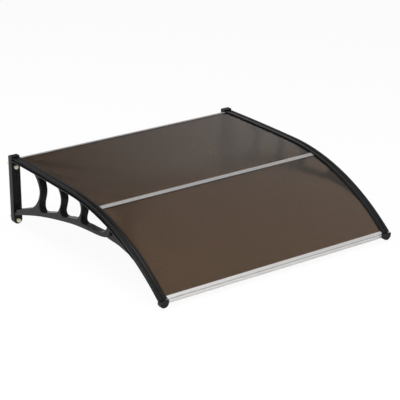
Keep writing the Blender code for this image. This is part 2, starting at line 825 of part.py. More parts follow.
def make_bolt(side, level, height, parts, cutters):
    """Hexagon-head bolt through a post into the wall."""
    name = f"{side}_{level}_wall_bolt"
    x = SIDES[side] * (WIDTH - POST_WIDTH) / 2
    along = Matrix.Rotation(math.pi / 2, 4, "X")
    seat = POST_DEPTH + WASHER_THICKNESS + 2 * CLEARANCE
    middle = seat + BOLT_HEAD_HEIGHT / 2
    across_corners = BOLT_HEAD_ACROSS_FLATS / math.cos(math.pi / 6)
    place = Matrix.Translation((x, -middle, height)) @ along
    head = cylinder(name, across_corners, BOLT_HEAD_HEIGHT, place, parts, sides=6)
    chamfer = cylinder(
        f"{name}_chamfer",
        BOLT_HEAD_ACROSS_FLATS * BOLT_CHAMFER_BASE,
        BOLT_HEAD_HEIGHT,
        place,
        cutters,
        end_diameter=BOLT_HEAD_ACROSS_FLATS * BOLT_CHAMFER_END,
    )
    combine(head, [chamfer], "INTERSECT")
    tip = seat - BOLT_LENGTH
    end = seat + BOLT_HEAD_HEIGHT / 2
    shank_place = Matrix.Translation((x, -(tip + end) / 2, height)) @ along
    shank = cylinder(f"{name}_shank", BOLT_DIAMETER, end - tip, shank_place, cutters)
    combine(head, [shank], "UNION")
    return head


def make_washer(side, level, height, parts, cutters):
    """Round washer under a bolt head."""
    name = f"{side}_{level}_washer"
    x = SIDES[side] * (WIDTH - POST_WIDTH) / 2
    along = Matrix.Rotation(math.pi / 2, 4, "X")
    middle = POST_DEPTH + CLEARANCE + WASHER_THICKNESS / 2
    place = Matrix.Translation((x, -middle, height)) @ along
    washer = cylinder(name, WASHER_DIAMETER, WASHER_THICKNESS, place, parts)
    size = BOLT_DIAMETER + 2 * BOLT_HOLE_CLEARANCE
    hole = cylinder(f"{name}_hole", size, CUT_THROUGH * WASHER_THICKNESS, place, cutters)
    combine(washer, [hole], "DIFFERENCE")
    return washer


def build():
    """Build every piece of the canopy."""
    clear_scene()
    parts = new_collection(OBJECT_NAME)
    cutters = new_collection("cutters", hidden=True)
    looks = {name: make_finish(name) for name in FINISHES}
    for side in SIDES:
        finish(make_bracket(side, parts, cutters), looks["moulded_black"])
        finish(make_strip(side, parts, cutters), looks["strip_black"])
        for number, distance in enumerate(screw_places(), 1):
            finish(make_screw(side, number, distance, parts, cutters), looks["zinc_steel"])
        for level, height in bolt_heights().items():
            finish(make_bolt(side, level, height, parts, cutters), looks["zinc_steel"])
            finish(make_washer(side, level, height, parts, cutters), looks["zinc_steel"])
    half_web = BAR_WALL / 2 + CLEARANCE
    rear = make_sheet("rear_sheet", SHEET_START, joint_middle() - half_web, parts, cutters)
    front = make_sheet("front_sheet", joint_middle() + half_web, sheet_end(), parts, cutters)
    finish(rear, looks["bronze_sheet"])
    finish(front, looks["bronze_sheet"])
    for bar in (make_joining_bar(parts), make_rear_trim(parts), make_front_bar(parts)):
        finish(bar, looks["bar_aluminium"])


build()
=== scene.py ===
"""Looks of an arched door canopy: two black side brackets, tinted twin-wall sheets and aluminium bars.

The wall is the plane Y = 0 and the canopy reaches out towards -Y. X = 0 is the middle of its width and
Z = 0 is the lower end of the wall posts. Lengths are in metres. Side views are drawn as (distance from
the wall, height), and layers that follow the arch are measured square to it.
"""

import logging
import math
from collections.abc import Callable, Sequence
from dataclasses import dataclass, field
from enum import Enum, IntEnum

import bmesh
import bpy
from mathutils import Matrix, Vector


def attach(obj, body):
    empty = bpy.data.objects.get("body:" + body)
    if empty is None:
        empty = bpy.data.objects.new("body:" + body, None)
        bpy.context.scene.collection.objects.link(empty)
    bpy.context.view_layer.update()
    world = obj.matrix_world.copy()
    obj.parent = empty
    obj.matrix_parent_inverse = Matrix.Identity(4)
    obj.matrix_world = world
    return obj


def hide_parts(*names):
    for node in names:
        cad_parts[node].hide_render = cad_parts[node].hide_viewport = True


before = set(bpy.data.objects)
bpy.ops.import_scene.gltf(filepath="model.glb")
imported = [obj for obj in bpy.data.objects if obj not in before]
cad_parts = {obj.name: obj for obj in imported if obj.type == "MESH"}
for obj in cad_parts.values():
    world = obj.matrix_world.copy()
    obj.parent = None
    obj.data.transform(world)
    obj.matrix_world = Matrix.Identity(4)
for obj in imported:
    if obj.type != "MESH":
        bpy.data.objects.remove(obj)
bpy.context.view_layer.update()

LOG = logging.getLogger("canopy")

Point = tuple[float, float]
Range = tuple[float, float]
Place = tuple[float, float, float]
Colour = tuple[float, float, float]
Socket = bpy.types.NodeSocket
Value = Socket | float | Colour | tuple[float, float, float, float]

BODY = "root"
CLEARANCE = 0.0003
POST_WIDTH = 0.0352
WIDTH = 1.000
SHEET_TOP = 0.0048
SHEET_THICKNESS = 0.004
GREATEST_CORNER_CUT = 0.45
UNIT: Range = (0.0, 1.0)


class Labelled(Enum):
    """A choice whose own name is part of the pieces' names."""

    @property
    def label(self) -> str:
        """Word used in the names of the pieces."""
        return self.name.lower()


class Side(Labelled):
    """The two hands of the canopy, as the sign of X."""

    LEFT = -1
    RIGHT = 1

    @property
    def post_x(self) -> float:
        """X of the middle of this side's wall post."""
        return self.value * (WIDTH - POST_WIDTH) / 2


class Level(Labelled):
    """The two bolt places of a post, as the bolt's height."""

    UPPER = 0.2204
    LOWER = 0.0134


class Slot(Enum):
    """Names of the record's material slots."""

    BRACKET = "bracket_black"
    STRIP = "strip_black"
    SHEET = "bronze_sheet"
    BAR = "bar_aluminium"
    STEEL = "zinc_steel"


class Layer(IntEnum):
    """Rows of corners through a twin-wall sheet, from the top down."""

    OUTER_TOP = 0
    INNER_TOP = 1
    INNER_BOTTOM = 2
    OUTER_BOTTOM = 3


# The arch line


@dataclass(frozen=True)
class ArchLine:
    """Line of the strips' tops: nearly straight at the wall, then one arc down to the noses."""

    top: float = 0.257
    rear_slope: float = math.radians(0.25)
    rear_run: float = 0.420
    rear_radius: float = 12.2
    front_slope: float = math.radians(41.64)
    reach: float = 0.960

    @property
    def joint_slope(self) -> float:
        """Slope where the straight run meets the arc."""
        return math.asin(math.sin(self.rear_slope) + self.rear_run / self.rear_radius)

    @property
    def front_radius(self) -> float:
        """Radius of the front arc."""
        turn = math.sin(self.front_slope) - math.sin(self.joint_slope)
        return (self.reach - self.rear_run) / turn

    def slope(self, distance: float) -> float:
        """Slope of the line at a distance from the wall.

        Args:
            distance: Distance from the wall.

        Returns:
            The slope in radians, falling away from the wall.
        """
        if distance <= self.rear_run:
            return math.asin(math.sin(self.rear_slope) + distance / self.rear_radius)
        return math.asin(math.sin(self.joint_slope) + (distance - self.rear_run) / self.front_radius)

    def height(self, distance: float) -> float:
        """Height of the line at a distance from the wall.

        Args:
            distance: Distance from the wall.

        Returns:
            The height above the posts' lower ends.
        """
        slope = self.slope(distance)
        start = math.cos(self.rear_slope)
        if distance <= self.rear_run:
            return self.top - self.rear_radius * (start - math.cos(slope))
        rear_drop = self.rear_radius * (start - math.cos(self.joint_slope))
        return self.top - rear_drop - self.front_radius * (math.cos(self.joint_slope) - math.cos(slope))

    def point(self, distance: float, below: float = 0.0) -> Point:
        """Side-view point under the line.

        Args:
            distance: Distance from the wall of the place on the line.
            below: Depth under the line, square to it.

        Returns:
            The point as (distance, height).
        """
        slope = self.slope(distance)
        return (distance - below * math.sin(slope), self.height(distance) - below * math.cos(slope))

    def stations(self, start: float, end: float, pitch: float) -> list[float]:
        """Evenly spaced distances along the line.

        Args:
            start: First distance.
            end: Last distance.
            pitch: Greatest step between two of them.

        Returns:
            The distances, ends included.
        """
        steps = math.ceil((end - start) / pitch)
        return [start + (end - start) * step / steps for step in range(steps + 1)]


ARCH = ArchLine()


# Meshes


def add_object(name: str, data: bpy.types.ID) -> bpy.types.Object:
    """Add an object to the scene.

    Args:
        name: Name of the object.
        data: Its mesh, lamp or camera.

    Returns:
        The object.
    """
    made = bpy.data.objects.new(name, data)
    bpy.context.scene.collection.objects.link(made)
    return made


def dress(piece: bpy.types.Object, material: bpy.types.Material) -> None:
    """Give a piece its one material.

    Args:
        piece: The piece.
        material: The material.
    """
    piece.data.materials.clear()
    piece.data.materials.append(material)


def stand_in(name: str, node: str, shape: bmesh.types.BMesh,
             material: bpy.types.Material, smooth_angle: float) -> None:
    """Show a finished shape in place of a plain solid.

    Args:
        name: Name of the new piece.
        node: Name of the solid.
        shape: The shape; it is freed.
        material: Its finish.
        smooth_angle: Faces that meet at less than this, in degrees, are shaded as one.
    """
    bmesh.ops.recalc_face_normals(shape, faces=shape.faces)
    mesh = bpy.data.meshes.new(name)
    shape.to_mesh(mesh)
    shape.free()
    mesh.shade_smooth()
    mesh.set_sharp_from_angle(angle=math.radians(smooth_angle))
    piece = add_object(name, mesh)
    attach(piece, BODY)
    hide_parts(node)
    dress(piece, material)
    LOG.info("%s in place of %s", name, node)


def rounded(outline: Sequence[Point], radius: float, steps: int = 3) -> list[Point]:
    """Round the corners of a closed outline.

    Args:
        outline: Corners of the outline.
        radius: Greatest cut along an edge at each corner.
        steps: Points that each rounded corner gets, less one.

    Returns:
        Points of the rounded outline.
    """
    points: list[Point] = []
    count = len(outline)
    for index in range(count):
        before, corner, after = (Vector(outline[(index + step) % count]) for step in (-1, 0, 1))
        shortest = min((before - corner).length, (after - corner).length)
        cut = min(radius, GREATEST_CORNER_CUT * shortest)
        start = corner + (before - corner).normalized() * cut
        end = corner + (after - corner).normalized() * cut
        for step in range(steps + 1):
            share = step / steps
            place = start * (1 - share) ** 2 + corner * 2 * share * (1 - share) + end * share ** 2
            points.append((place.x, place.y))
    return points


def ringed(rings: Sequence[Sequence[Place]]) -> bmesh.types.BMesh:
    """Join rings of equal size into a closed skin.

    Args:
        rings: Rings of points, from one end to the other.

    Returns:
        The closed shape, capped at both ends.
    """
    shape = bmesh.new()
    rows = [[shape.verts.new(place) for place in ring] for ring in rings]
    for lower, upper in zip(rows, rows[1:]):
        for index in range(len(lower)):
            after = (index + 1) % len(lower)
            shape.faces.new((lower[index], lower[after], upper[after], upper[index]))
    shape.faces.new(rows[0])
    shape.faces.new(rows[-1])
    return shape


def extruded(outline: Sequence[Point], half_width: float) -> bmesh.types.BMesh:
    """Extrude a side-view outline across the canopy.

    Args:
        outline: Closed outline as (distance, height).
        half_width: Half of the length along X.

    Returns:
        The closed shape.
    """
    return ringed([[(x, -distance, height) for distance, height in outline]
                   for x in (-half_width, half_width)])


# Shader wiring

WHITE = (1.0, 1.0, 1.0, 1.0)

# Where a colour mix node keeps its sockets
MIX_SHARE, MIX_FIRST, MIX_SECOND = 0, 6, 7
MIX_RESULT = 2


class Wires:
    """Adds nodes to one node tree and joins them."""

    def __init__(self, tree: bpy.types.NodeTree) -> None:
        """Keep the tree that the nodes go into."""
        self.tree = tree

    def put(self, socket: Socket, value: Value) -> None:
        """Link a socket or set its constant.

        Args:
            socket: Input that takes the value.
            value: Output to link from, or a constant.
        """
        if isinstance(value, bpy.types.NodeSocket):
            self.tree.links.new(value, socket)
        else:
            socket.default_value = value

    def feed(self, node: bpy.types.Node, inputs: dict[str, Value]) -> None:
        """Give a node its inputs.

        Args:
            node: The node.
            inputs: Values for its inputs, by name.
        """
        for name, value in inputs.items():
            self.put(node.inputs[name], value)

    def node(self, kind: str, inputs: dict[str, Value] | None = None, **settings: object) -> bpy.types.Node:
        """Add one node.

        Args:
            kind: Type name of the node.
            inputs: Values for its inputs, by name.
            settings: Values for its own options.

        Returns:
            The node.
        """
        made = self.tree.nodes.new(kind)
        for name, value in settings.items():
            setattr(made, name, value)
        self.feed(made, inputs or {})
        return made

    def maths(self, operation: str, *values: Value) -> Socket:
        """Work out one number from others.

        Args:
            operation: Name of the operation.
            values: Its operands.

        Returns:
            The result.
        """
        made = self.node("ShaderNodeMath", operation=operation)
        for socket, value in zip(made.inputs, values):
            self.put(socket, value)
        return made.outputs[0]

    def remap(self, value: Value, source: Range, target: Range = UNIT) -> Socket:
        """Carry a number from one range to another, held at its ends.

        Args:
            value: The number.
            source: Its range.
            target: The new range.

        Returns:
            The new number.
        """
        made = self.node("ShaderNodeMapRange", clamp=True)
        for socket, given in zip(made.inputs, (value, *source, *target)):
            self.put(socket, given)
        return made.outputs[0]

    def tint(self, share: Value, first: Socket | Colour, second: Socket | Colour) -> Socket:
        """Mix two colours.

        Args:
            share: Share of the second colour.
            first: Colour at 0.
            second: Colour at 1.

        Returns:
            The mixed colour.
        """
        made = self.node("ShaderNodeMix", data_type="RGBA")
        self.put(made.inputs[MIX_SHARE], share)
        for index, colour in ((MIX_FIRST, first), (MIX_SECOND, second)):
            self.put(made.inputs[index], (*colour, 1.0) if isinstance(colour, tuple) else colour)
        return made.outputs[MIX_RESULT]

    def vector_maths(self, operation: str, first: Value, second: Value) -> bpy.types.Node:
        """Work on two vectors.

        Args:
            operation: Name of the operation.
            first: First vector.
            second: Second vector.

        Returns:
            The node, with the result on its Vector or its Value.
        """
        made = self.node("ShaderNodeVectorMath", operation=operation)
        self.put(made.inputs[0], first)
        self.put(made.inputs[1], second)
        return made

    def alike(self, first: Value, second: Value) -> Socket:
        """Dot product of two directions."""
        return self.vector_maths("DOT_PRODUCT", first, second).outputs["Value"]

    def place(self, stretch: Value = (1.0, 1.0, 1.0)) -> Socket:
        """Place on the object, stretched along its axes.

        Args:
            stretch: Factor on each axis.

        Returns:
            The stretched place.
        """
        spot = self.node("ShaderNodeTexCoord").outputs["Object"]
        return self.vector_maths("MULTIPLY", spot, stretch).outputs["Vector"]

    def noise(self, spot: Socket, scale: Value, detail: float = 2.0, rough: float = 0.5) -> Socket:
        """Soft noise over the surface.

        Args:
            spot: Where it is read.
            scale: Waves to a metre.
            detail: Octaves.
            rough: Share that each octave keeps.

        Returns:
            A number from 0 to 1.
        """
        values: dict[str, Value] = {"Vector": spot, "Scale": scale, "Detail": detail, "Roughness": rough}
        return self.node("ShaderNodeTexNoise", values).outputs["Fac"]

    def broken(self, mask: Socket, cloud: Socket, source: Range, target: Range) -> Socket:
        """Break a mask up with noise.

        Args:
            mask: The mask.
            cloud: The noise.
            source: Range of the noise that counts.
            target: Shares of the mask that it leaves.

        Returns:
            The broken mask.
        """
        return self.maths("MULTIPLY", mask, self.remap(cloud, source, target))

    def effect(self, group: bpy.types.NodeTree, **inputs: Value) -> bpy.types.Node:
        """Place a shared effect.

        Args:
            group: Node group of the effect.
            inputs: Values for its inputs.

        Returns:
            The group's node.
        """
        return self.node("ShaderNodeGroup", inputs, node_tree=group)

    def bump(self, height: Socket, strength: float, depth: float) -> Socket:
        """Normal of a surface with fine relief.

        Args:
            height: Height of the relief, from 0 to 1.
            strength: Share of the relief that shows.
            depth: Depth of the whole relief.

        Returns:
            The normal.
        """
        inputs: dict[str, Value] = {"Height": height, "Strength": strength, "Distance": depth}
        return self.node("ShaderNodeBump", inputs).outputs["Normal"]


class EffectGroup(Wires):
    """A shared effect: a node group with named inputs and outputs."""

    def __init__(self, name: str) -> None:
        """Start an empty group.

        Args:
            name: Name of the effect.
        """
        super().__init__(bpy.data.node_groups.new(name, "ShaderNodeTree"))
        self.entry = self.tree.nodes.new("NodeGroupInput")
        self.exit = self.tree.nodes.new("NodeGroupOutput")

    def take(self, name: str, default: float | Place) -> Socket:
        """Add an input.

        Args:
            name: Name of the input.
            default: Its value where nothing else is given.

        Returns:
            The socket that carries it inside the group.
        """
        kind = "NodeSocketVector" if isinstance(default, tuple) else "NodeSocketFloat"
        item = self.tree.interface.new_socket(name=name, in_out="INPUT", socket_type=kind)
        item.default_value = default
        return self.entry.outputs[name]

    def give(self, name: str, value: Socket) -> None:
        """Add an output.

        Args:
            name: Name of the output.
            value: What it carries.
        """
        self.tree.interface.new_socket(name=name, in_out="OUTPUT", socket_type="NodeSocketFloat")
        self.tree.links.new(value, self.exit.inputs[name])


class Effects:
    """The effects that several finishes share, each built once.

    Each pair of numbers here is a range: of the noise or of the angle where an effect starts and is
    full, or of the mask that it gives.
    """

    patch_noise: Range = (0.3, 0.7)
    # Edge mask: rubbed wear on metal, a painted highlight on plastic.
    edge_alike: Range = (0.995, 0.80)
    edge_noise: Range = (0.35, 0.65)
    edge_share: Range = (0.35, 1.0)
    dust_facing: Range = (0.35, 0.95)
    dust_noise: Range = (0.35, 0.75)
    dust_share: Range = (0.2, 1.0)
    # Painted shade in grooves: occlusion where it starts and is full, and the shares that the noise leaves.
    crevice_open: Range = (0.97, 0.50)
    crevice_share: Range = (0.7, 1.0)
    streak_noise: Range = (0.35, 0.65)
    broad_streak: float = 0.18
    octaves: float = 3.0
    dust_octaves: float = 5.0
    rough_noise: float = 0.6
    edge_samples: int = 4
    crevice_samples: int = 8

    def __init__(self) -> None:
        """Build every group."""
        self.grain = self.build_grain()
        self.wear_and_highlight = self.build_wear_and_highlight()
        self.dust = self.build_dust()
        self.streaks = self.build_streaks()
        self.crevice = self.build_crevice()

    def build_grain(self) -> bpy.types.NodeTree:
        """Fine grain of a moulded surface, with slow changes of gloss under it.

        Returns:
            The node group, with a Height and a Patch.
        """
        group = EffectGroup("moulding_grain")
        fine = group.take("Grain", 1500.0)
        slow = group.take("Flow", 12.0)
        spot = group.place()
        group.give("Height", group.noise(spot, fine, self.octaves, self.rough_noise))
        cloud = group.noise(spot, slow, self.octaves)
        group.give("Patch", group.remap(cloud, self.patch_noise))
        return group.tree

    def build_wear_and_highlight(self) -> bpy.types.NodeTree:
        """Outer edges, broken up so that they don't run evenly: rubbed wear on metal, a painted highlight on
        plastic.

        Returns:
            The node group, with a Mask.
        """
        group = EffectGroup("edge_wear_and_highlight")
        radius = group.take("Radius", 0.0015)
        breakup = group.take("Breakup", 90.0)
        bevel = group.node("ShaderNodeBevel", {"Radius": radius}, samples=self.edge_samples)
        true = group.node("ShaderNodeNewGeometry").outputs["True Normal"]
        edge = group.remap(group.alike(bevel.outputs["Normal"], true), self.edge_alike)
        cloud = group.noise(group.place(), breakup, self.octaves)
        group.give("Mask", group.broken(edge, cloud, self.edge_noise, self.edge_share))
        return group.tree

    def build_dust(self) -> bpy.types.NodeTree:
        """Thin dust on what faces up.

        Returns:
            The node group, with a Mask.
        """
        group = EffectGroup("settled_dust")
        amount = group.take("Amount", 0.2)
        scale = group.take("Scale", 25.0)
        normal = group.node("ShaderNodeNewGeometry").outputs["Normal"]
        up = group.node("ShaderNodeSeparateXYZ", {"Vector": normal}).outputs["Z"]
        level = group.remap(up, self.dust_facing)
        cloud = group.noise(group.place(), scale, self.dust_octaves, self.rough_noise)
        settled = group.broken(level, cloud, self.dust_noise, self.dust_share)
        group.give("Mask", group.maths("MULTIPLY", settled, amount))
        return group.tree

    def build_crevice(self) -> bpy.types.NodeTree:
        """Painted shade that gathers in grooves and corners, from ambient occlusion.

        Returns:
            The node group, with a Mask.
        """
        group = EffectGroup("crevice_dirt")
        reach = group.take("Reach", 0.003)
        breakup = group.take("Breakup", 120.0)
        around = group.node("ShaderNodeAmbientOcclusion", {"Distance": reach}, samples=self.crevice_samples)
        in_shade = group.remap(around.outputs["AO"], self.crevice_open)
        cloud = group.noise(group.place(), breakup, self.octaves)
        group.give("Mask", group.broken(in_shade, cloud, self.patch_noise, self.crevice_share))
        return group.tree

    def build_streaks(self) -> bpy.types.NodeTree:
        """Long fine lines, such as a die leaves along a drawn bar or rain along a sheet.

        Returns:
            The node group, with a Height and a Streak.
        """
        group = EffectGroup("drawn_streaks")
        stretch = group.take("Stretch", (2.0, 900.0, 900.0))
        spot = group.place(stretch)
        group.give("Height", group.noise(spot, 1.0))
        broad = group.noise(spot, self.broad_streak)
        group.give("Streak", group.remap(broad, self.streak_noise))
        return group.tree


# Finishes


def blank_material(name: str) -> tuple[bpy.types.Material, Wires, bpy.types.Node]:
    """Start a material.

    Args:
        name: Name of the material.

    Returns:
        The material, the wires of its tree and its Principled shader.
    """
    material = bpy.data.materials.new(name)
    material.use_nodes = True
    return material, Wires(material.node_tree), material.node_tree.nodes["Principled BSDF"]


@dataclass(frozen=True)
class MouldedPlastic:
    """Black moulded or extruded plastic with a satin grain, a painted highlight on its edges and painted
    shade in its grooves.
    """

    name: str
    colour: Colour
    edge_highlight: Colour
    rough: Range
    grain: float
    relief: float
    wear_and_highlight: float
    dust: float
    specular: float
    deep_share: float = 0.86
    flow: float = 9.0
    grain_depth: float = 0.0002
    wear_and_highlight_radius: float = 0.0016
    wear_and_highlight_breakup: float = 70.0
    dust_scale: float = 18.0
    dust_colour: Colour = (0.20, 0.19, 0.175)
    dust_dull: float = 0.25
    # Reach and colour of the painted shade in grooves and corners.
    crevice: float = 0.007
    dirt: Colour = (0.001, 0.001, 0.001)

    def build(self, effects: Effects) -> bpy.types.Material:
        """Make the material.

        Args:
            effects: The shared effects.

        Returns:
            The material.
        """
        material, wires, shader = blank_material(self.name)
        grain = wires.effect(effects.grain, Grain=self.grain, Flow=self.flow)
        wear_and_highlight = wires.effect(effects.wear_and_highlight, Radius=self.wear_and_highlight_radius, Breakup=self.wear_and_highlight_breakup)
        dust = wires.effect(effects.dust, Amount=self.dust, Scale=self.dust_scale)
        crevice = wires.effect(effects.crevice, Reach=self.crevice)
        deep = tuple(part * self.deep_share for part in self.colour)
        colour = wires.tint(grain.outputs["Patch"], deep, self.colour)
        # Painted highlight: a pale tint along the outer edges.
        colour = wires.tint(wires.maths("MULTIPLY", wear_and_highlight.outputs["Mask"], self.wear_and_highlight), colour, self.edge_highlight)
        colour = wires.tint(dust.outputs["Mask"], colour, self.dust_colour)
        # Painted shade: grooves and corners go towards black.
        colour = wires.tint(crevice.outputs["Mask"], colour, self.dirt)
        rough = wires.remap(grain.outputs["Patch"], UNIT, self.rough)
        dusty = wires.maths("MULTIPLY", dust.outputs["Mask"], self.dust_dull)
        wires.feed(shader, {
            "Base Color": colour,
            "Roughness": wires.maths("ADD", rough, dusty),
            "Specular IOR Level": self.specular,
            "Normal": wires.bump(grain.outputs["Height"], self.relief, self.grain_depth),
        })
        return material


@dataclass(frozen=True)
class TintedSheet:
    """Bronze-tinted clear plastic of the twin-wall sheets."""

    name: str = "bronze_twin_wall"
    tint: Colour = (0.336, 0.258, 0.199)
    deep_tint: Colour = (0.324, 0.248, 0.191)
    web_tint: Colour = (0.045, 0.036, 0.028)
    clear: float = 0.98
    rough: Range = (0.10, 0.12)
    ior: float = 1.5
    web_facing: Range = (0.55, 0.75)
    stretch: Place = (260.0, 3.0, 3.0)
    grain: float = 700.0
    flow: float = 5.0
    dust: float = 0.02
    dust_scale: float = 4.0
    relief: float = 0.04
    relief_depth: float = 0.0003

    def build(self, effects: Effects) -> bpy.types.Material:
        """Make the material.

        Args:
            effects: The shared effects.

        Returns:
            The material.
        """
        material, wires, shader = blank_material(self.name)
        runs = wires.effect(effects.streaks, Stretch=self.stretch)
        grain = wires.effect(effects.grain, Grain=self.grain, Flow=self.flow)
        dust = wires.effect(effects.dust, Amount=self.dust, Scale=self.dust_scale)
        colour = wires.tint(runs.outputs["Streak"], self.deep_tint, self.tint)
        facing = wires.node("ShaderNodeNewGeometry").outputs["True Normal"]
        sideways = wires.node("ShaderNodeSeparateXYZ", {"Vector": facing}).outputs["X"]
        web = wires.remap(wires.maths("ABSOLUTE", sideways), self.web_facing)
        rough = wires.remap(grain.outputs["Patch"], UNIT, self.rough)
        wires.feed(shader, {
            "Base Color": wires.tint(web, colour, self.web_tint),
            "Roughness": wires.maths("ADD", rough, dust.outputs["Mask"]),
            "Transmission Weight": self.clear,
            "IOR": self.ior,
            "Normal": wires.bump(runs.outputs["Height"], self.relief, self.relief_depth),
        })
        return material


@dataclass(frozen=True)
class DrawnMetal:
    """Extruded aluminium or plated steel, with painted shade in its grooves."""

    name: str
    colour: Colour
    stained: Colour
    rough: Range
    metallic: float
    stretch: Place = (2.0, 900.0, 900.0)
    relief: float = 0.10
    line_range: Range = (0.3, 0.7)
    line_depth: float = 0.0001
    grain: float = 2200.0
    flow: float = 22.0
    wear_and_highlight: float = 0.3
    wear_and_highlight_radius: float = 0.0008
    wear_and_highlight_breakup: float = 160.0
    rubbed_gain: float = 1.15
    # Reach and colour of the painted shade in grooves and corners.
    crevice: float = 0.006
    dirt: Colour = (0.22, 0.21, 0.20)

    def build(self, effects: Effects) -> bpy.types.Material:
        """Make the material.

        Args:
            effects: The shared effects.

        Returns:
            The material.
        """
        material, wires, shader = blank_material(self.name)
        lines = wires.effect(effects.streaks, Stretch=self.stretch)
        grain = wires.effect(effects.grain, Grain=self.grain, Flow=self.flow)
        wear_and_highlight = wires.effect(effects.wear_and_highlight, Radius=self.wear_and_highlight_radius, Breakup=self.wear_and_highlight_breakup)
        crevice = wires.effect(effects.crevice, Reach=self.crevice)
        share = wires.maths("MULTIPLY", lines.outputs["Streak"], grain.outputs["Patch"])
        bright = tuple(min(1.0, part * self.rubbed_gain) for part in self.colour)
        colour = wires.tint(share, self.colour, self.stained)
        colour = wires.tint(wires.maths("MULTIPLY", wear_and_highlight.outputs["Mask"], self.wear_and_highlight), colour, bright)
        # Painted shade: grooves and corners go darker.
        colour = wires.tint(crevice.outputs["Mask"], colour, self.dirt)
        wires.feed(shader, {
            "Base Color": colour,
            "Roughness": wires.remap(lines.outputs["Height"], self.line_range, self.rough),
            "Metallic": self.metallic,
            "Normal": wires.bump(lines.outputs["Height"], self.relief, self.line_depth),
        })
        return material


class Finishes:
    """Every material of the canopy: one for each of the record's slots, and a duller aluminium."""

    def __init__(self, effects: Effects) -> None:
        """Build the materials.

        Args:
            effects: The shared effects.
        """
        # The plastics' pale edge colours are painted highlights.
        bracket = MouldedPlastic(
            "moulded_black", colour=(0.010, 0.010, 0.0105), edge_highlight=(0.14, 0.14, 0.14),
            rough=(0.26, 0.34), grain=1500.0, relief=0.10, wear_and_highlight=0.8, dust=0.02, specular=0.14,
        )
        strip = MouldedPlastic(
            "strip_black", colour=(0.016, 0.016, 0.0165), edge_highlight=(0.035, 0.035, 0.035),
            rough=(0.15, 0.20), grain=900.0, relief=0.04, wear_and_highlight=0.7, dust=0.01, specular=0.20,
        )
        bar = DrawnMetal(
            "bar_aluminium", colour=(0.81, 0.80, 0.79), stained=(0.73, 0.72, 0.71),
            rough=(0.36, 0.50), metallic=0.6,
        )
        steel = DrawnMetal(
            "zinc_steel", colour=(0.92, 0.91, 0.70), stained=(0.72, 0.66, 0.42),
            rough=(0.22, 0.36), metallic=0.25, stretch=(240.0, 240.0, 240.0), relief=0.12,
        )
        dull_bar = DrawnMetal(
            "weathered_aluminium", colour=(0.68, 0.67, 0.66), stained=(0.60, 0.59, 0.58),
            rough=(0.34, 0.46), metallic=0.7,
        )
        self.weathered = dull_bar.build(effects)
        self.by_slot = {
            Slot.BRACKET: bracket.build(effects),
            Slot.STRIP: strip.build(effects),
            Slot.SHEET: TintedSheet().build(effects),
            Slot.BAR: bar.build(effects),
            Slot.STEEL: steel.build(effects),
        }

    def dress_slot(self, piece: bpy.types.Object, slot: Slot) -> None:
        """Give a piece the material of a slot."""
        dress(piece, self.by_slot[slot])


# Sub-assemblies


@dataclass
class SideBracket:
    """One moulded bracket with its clamp screws and washers."""

    side: Side
    screws: int = 5

    def dress(self, finishes: Finishes) -> None:
        """Finish the solids of one side.

        Args:
            finishes: The materials.
        """
        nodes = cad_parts
        finishes.dress_slot(nodes[f"{self.side.label}_bracket"], Slot.BRACKET)
        for number in range(1, self.screws + 1):
            finishes.dress_slot(nodes[f"{self.side.label}_clamp_screw_{number}"], Slot.STEEL)
        for level in Level:
            finishes.dress_slot(nodes[f"{self.side.label}_{level.label}_washer"], Slot.STEEL)
        LOG.info("%s bracket, %d clamp screws and two washers", self.side.label, self.screws)


@dataclass
class PressingStrip:
    """Two-banded strip that presses the sheets onto a bracket, swept along the arch."""

    side: Side
    half_width: float = 0.0164
    foot_half: float = 0.0116
    plate: float = 0.0017
    thickness: float = 0.0045
    groove_middle: float = 0.0006
    groove_half: float = 0.0027
    groove_depth: float = 0.0037
    dome: float = 0.0006
    dome_steps: int = 6
    edge: float = 0.0006
    start: float = 0.0243
    end: float = 0.9528
    station_pitch: float = 0.012
    smooth_angle: float = 40.0

    def band(self, inner: float, outer: float) -> list[Point]:
        """Domed top of one band.

        Args:
            inner: Place across the strip where the band starts.
            outer: Place where it ends.

        Returns:
            Points as (across, depth under the arch line).
        """
        shares = [step / self.dome_steps for step in range(self.dome_steps + 1)]
        width = outer - inner
        return [(inner + width * share, self.dome * (2 * share - 1) ** 2) for share in shares]

    def section(self) -> list[Point]:
        """Section of the strip, drawn from its inner edge to its outer edge.

        Returns:
            Points as (across, depth under the arch line), outwards positive.
        """
        half, foot = self.half_width, self.foot_half
        low, high = self.groove_middle - self.groove_half, self.groove_middle + self.groove_half
        groove = [(low, self.groove_depth), (high, self.groove_depth)]
        underside = [(half, self.plate), (foot, self.plate), (foot, self.thickness),
                     (-foot, self.thickness), (-foot, self.plate), (-half, self.plate)]
        return rounded([*self.band(-half, low), *groove, *self.band(high, half), *underside], self.edge)

    def build(self, finishes: Finishes) -> None:
        """Make the strip in place of its plain solid.

        Args:
            finishes: The materials.
        """
        section = self.section()
        rings = []
        for distance in ARCH.stations(self.start, self.end, self.station_pitch):
            ring = []
            for across, below in section:
                along, height = ARCH.point(distance, below)
                ring.append((self.side.post_x + self.side.value * across, -along, height))
            rings.append(ring)
        label = self.side.label
        stand_in(f"{label}_banded_strip", f"{label}_pressing_strip", ringed(rings),
                 finishes.by_slot[Slot.STRIP], self.smooth_angle)


